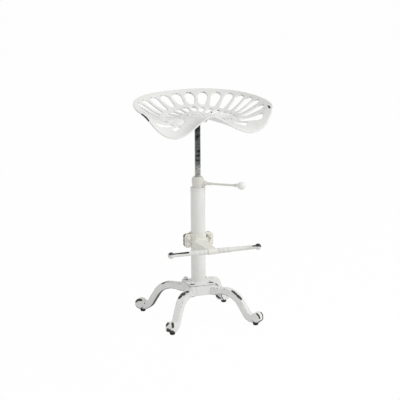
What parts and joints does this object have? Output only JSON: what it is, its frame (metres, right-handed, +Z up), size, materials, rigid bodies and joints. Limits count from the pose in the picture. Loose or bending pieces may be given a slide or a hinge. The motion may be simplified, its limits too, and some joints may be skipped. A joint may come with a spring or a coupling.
{
  "type": "tractor seat stool",
  "caption": "Height-adjustable stool: slotted cast seat on a lift screw, tube column with lock handle, clamped footrest bar, and S-shaped legs ending in scrolls on rubber feet.",
  "frame": {"origin": "on the floor under the column axis", "axes": "+Z up along the column and lift screw; -Y towards the front of the seat and the footrest; +X to the right of someone who looks along +Y"},
  "size_m": [0.454, 0.3444, 0.7506],
  "materials": {
    "white_cast_iron": "satin paint, worn through at the edges",
    "white_painted_steel": "satin paint",
    "dark_screw_steel": "oiled, bare",
    "bush_iron": "bare",
    "black_rubber": "matt",
    "fastener_steel": "blackened, partly painted"
  },
  "bodies": {
    "base": {"leg_back_right": "white_cast_iron", "leg_back_left": "white_cast_iron", "leg_front_left": "white_cast_iron", "leg_front_right": "white_cast_iron", "rubber_foot_back_right": "black_rubber", "rubber_foot_back_left": "black_rubber", "rubber_foot_front_left": "black_rubber", "rubber_foot_front_right": "black_rubber", "foot_screws": "fastener_steel", "base_hub": "white_cast_iron", "base_plate": "white_painted_steel", "base_bolts": "fastener_steel", "base_washers": "fastener_steel", "base_nuts": "fastener_steel", "column_tube": "white_painted_steel", "column_nut": "white_cast_iron"},
    "guide": {"guide_bush": "bush_iron"},
    "seat_and_screw": {"seat": "white_cast_iron", "seat_mount_plate": "white_painted_steel", "seat_bolts": "fastener_steel", "seat_washers": "fastener_steel", "seat_nuts": "fastener_steel", "lift_screw": "dark_screw_steel", "stop_washer": "fastener_steel", "stop_bolt": "fastener_steel"},
    "lock_handle": {"lock_collar": "white_cast_iron", "handle_rod": "white_painted_steel", "knob_nut": "fastener_steel", "knob": "white_cast_iron"},
    "footrest": {"footrest_clamp_front": "white_cast_iron", "footrest_clamp_rear": "white_cast_iron", "footrest_bar": "white_cast_iron", "clamp_bolts": "fastener_steel", "clamp_washers": "fastener_steel", "clamp_nuts": "fastener_steel"}
  },
  "joints": [
    {"name": "seat_rise", "type": "slide", "parent": "base", "child": "guide", "axis": [0, 0, 1], "range_m": [-0.1482, 0.0522]},
    {"name": "seat_turn", "type": "hinge", "parent": "guide", "child": "seat_and_screw", "pos_m": [0, 0, 0.45], "axis": [0, 0, 1], "range_deg": [-13320, 4680]},
    {"name": "lock_turn", "type": "hinge", "parent": "base", "child": "lock_handle", "pos_m": [0, 0, 0.46], "axis": [0, 0, 1], "range_deg": [0, 75]},
    {"name": "footrest_slide", "type": "slide", "parent": "base", "child": "footrest", "axis": [0, 0, 1], "range_m": [-0.09, 0.13]}
  ],
  "couplings": [
    {"joint": "seat_rise", "follows": "seat_turn", "m_per_rad": 0.00063662}
  ]
}
